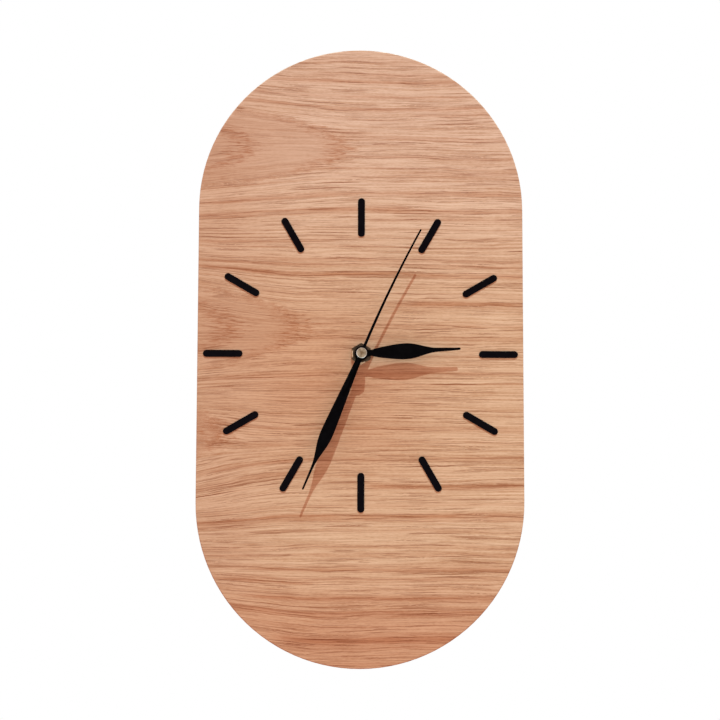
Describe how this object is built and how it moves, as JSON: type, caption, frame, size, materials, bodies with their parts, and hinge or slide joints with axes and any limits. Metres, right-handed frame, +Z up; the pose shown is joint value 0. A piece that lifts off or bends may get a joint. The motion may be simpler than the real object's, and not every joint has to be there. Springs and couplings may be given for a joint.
{
  "type": "wall clock",
  "caption": "Round-ended upright oak wall clock with black bar markers, black leaf hands and a battery quartz movement let into its back.",
  "frame": {"origin": "on the wall plane, where the hand axis meets it", "axes": "+Z up, +X to the right as seen from the front, +Y into the wall, so the dial faces -Y"},
  "size_m": [0.2, 0.0351, 0.38],
  "materials": {
    "oak": "sanded and oiled, grain across the width",
    "marker_black": "matte",
    "hand_black": "satin black",
    "turned_steel": "turned, concentric",
    "brass": "turned",
    "rubber": "matte",
    "case_black": "fine texture",
    "plate_grey": "moulded",
    "wheel_white": "moulded",
    "knob_white": "moulded",
    "steel": "bright",
    "zinc_steel": "zinc plated",
    "magnet": "sintered",
    "copper_wire": "enamelled wire",
    "board_green": "laminate",
    "resin_black": "gloss",
    "battery_sleeve": "printed sleeve, plain"
  },
  "bodies": {
    "clock": {"chip_cap": "resin_black", "circuit_board": "board_green", "coil_bobbin": "plate_grey", "coil_core": "steel", "coil_winding": "copper_wire", "hanger_screws": "zinc_steel", "hex_nut": "brass", "hour_marker_01": "marker_black", "hour_marker_02": "marker_black", "hour_marker_03": "marker_black", "hour_marker_04": "marker_black", "hour_marker_05": "marker_black", "hour_marker_06": "marker_black", "hour_marker_07": "marker_black", "hour_marker_08": "marker_black", "hour_marker_09": "marker_black", "hour_marker_10": "marker_black", "hour_marker_11": "marker_black", "hour_marker_12": "marker_black", "keyhole_hanger": "zinc_steel", "middle_plate": "plate_grey", "movement_case": "case_black", "movement_cover": "case_black", "negative_contact": "steel", "oak_board": "oak", "positive_contact": "steel", "quartz_crystal": "steel", "rubber_washer": "rubber", "stator": "steel", "threaded_bush": "brass"},
    "second_train": {"second_hand": "hand_black", "second_hand_boss": "turned_steel", "second_arbor": "steel", "second_wheel": "wheel_white"},
    "minute_train": {"minute_hand": "hand_black", "cannon_pinion": "brass", "centre_wheel": "wheel_white"},
    "hour_train": {"hour_hand": "hand_black", "hour_wheel": "wheel_white"},
    "third_train": {"third_wheel": "wheel_white"},
    "fifth_train": {"fifth_wheel": "wheel_white"},
    "rotor_train": {"rotor": "wheel_white", "rotor_magnet": "magnet"},
    "motion_train": {"minute_wheel": "wheel_white"},
    "setting": {"set_knob": "knob_white"},
    "battery": {"battery": "battery_sleeve"}
  },
  "joints": [
    {"name": "second_hand_turn", "type": "hinge", "parent": "clock", "child": "second_train", "pos_m": [0, 0, 0], "axis": [0, 1, 0], "continuous": true},
    {"name": "minute_hand_turn", "type": "hinge", "parent": "clock", "child": "minute_train", "pos_m": [0, 0, 0], "axis": [0, 1, 0], "continuous": true},
    {"name": "hour_hand_turn", "type": "hinge", "parent": "clock", "child": "hour_train", "pos_m": [0, 0, 0], "axis": [0, 1, 0], "continuous": true},
    {"name": "third_wheel_turn", "type": "hinge", "parent": "clock", "child": "third_train", "pos_m": [-0.00904, 0, 0.00522], "axis": [0, 1, 0], "continuous": true},
    {"name": "fifth_wheel_turn", "type": "hinge", "parent": "clock", "child": "fifth_train", "pos_m": [0.00686, 0, 0.00576], "axis": [0, 1, 0], "continuous": true},
    {"name": "rotor_turn", "type": "hinge", "parent": "clock", "child": "rotor_train", "pos_m": [0.01382, 0, 0.00762], "axis": [0, 1, 0], "continuous": true},
    {"name": "minute_wheel_turn", "type": "hinge", "parent": "clock", "child": "motion_train", "pos_m": [0.00945, 0, -0.00167], "axis": [0, 1, 0], "continuous": true},
    {"name": "set_knob_turn", "type": "hinge", "parent": "clock", "child": "setting", "pos_m": [0.01891, 0, -0.00333], "axis": [0, 1, 0], "continuous": true},
    {"name": "battery_lift", "type": "slide", "parent": "clock", "child": "battery", "axis": [0, 1, 0], "range_m": [0, 0.03]}
  ],
  "couplings": [
    {"joint": "minute_hand_turn", "follows": "second_hand_turn", "ratio": 0.016667},
    {"joint": "hour_hand_turn", "follows": "second_hand_turn", "ratio": 0.0013889},
    {"joint": "third_wheel_turn", "follows": "second_hand_turn", "ratio": -0.13333},
    {"joint": "fifth_wheel_turn", "follows": "second_hand_turn", "ratio": -6},
    {"joint": "rotor_turn", "follows": "second_hand_turn", "ratio": 30},
    {"joint": "minute_wheel_turn", "follows": "second_hand_turn", "ratio": -0.0055556},
    {"joint": "set_knob_turn", "follows": "second_hand_turn", "ratio": 0.016667}
  ]
}
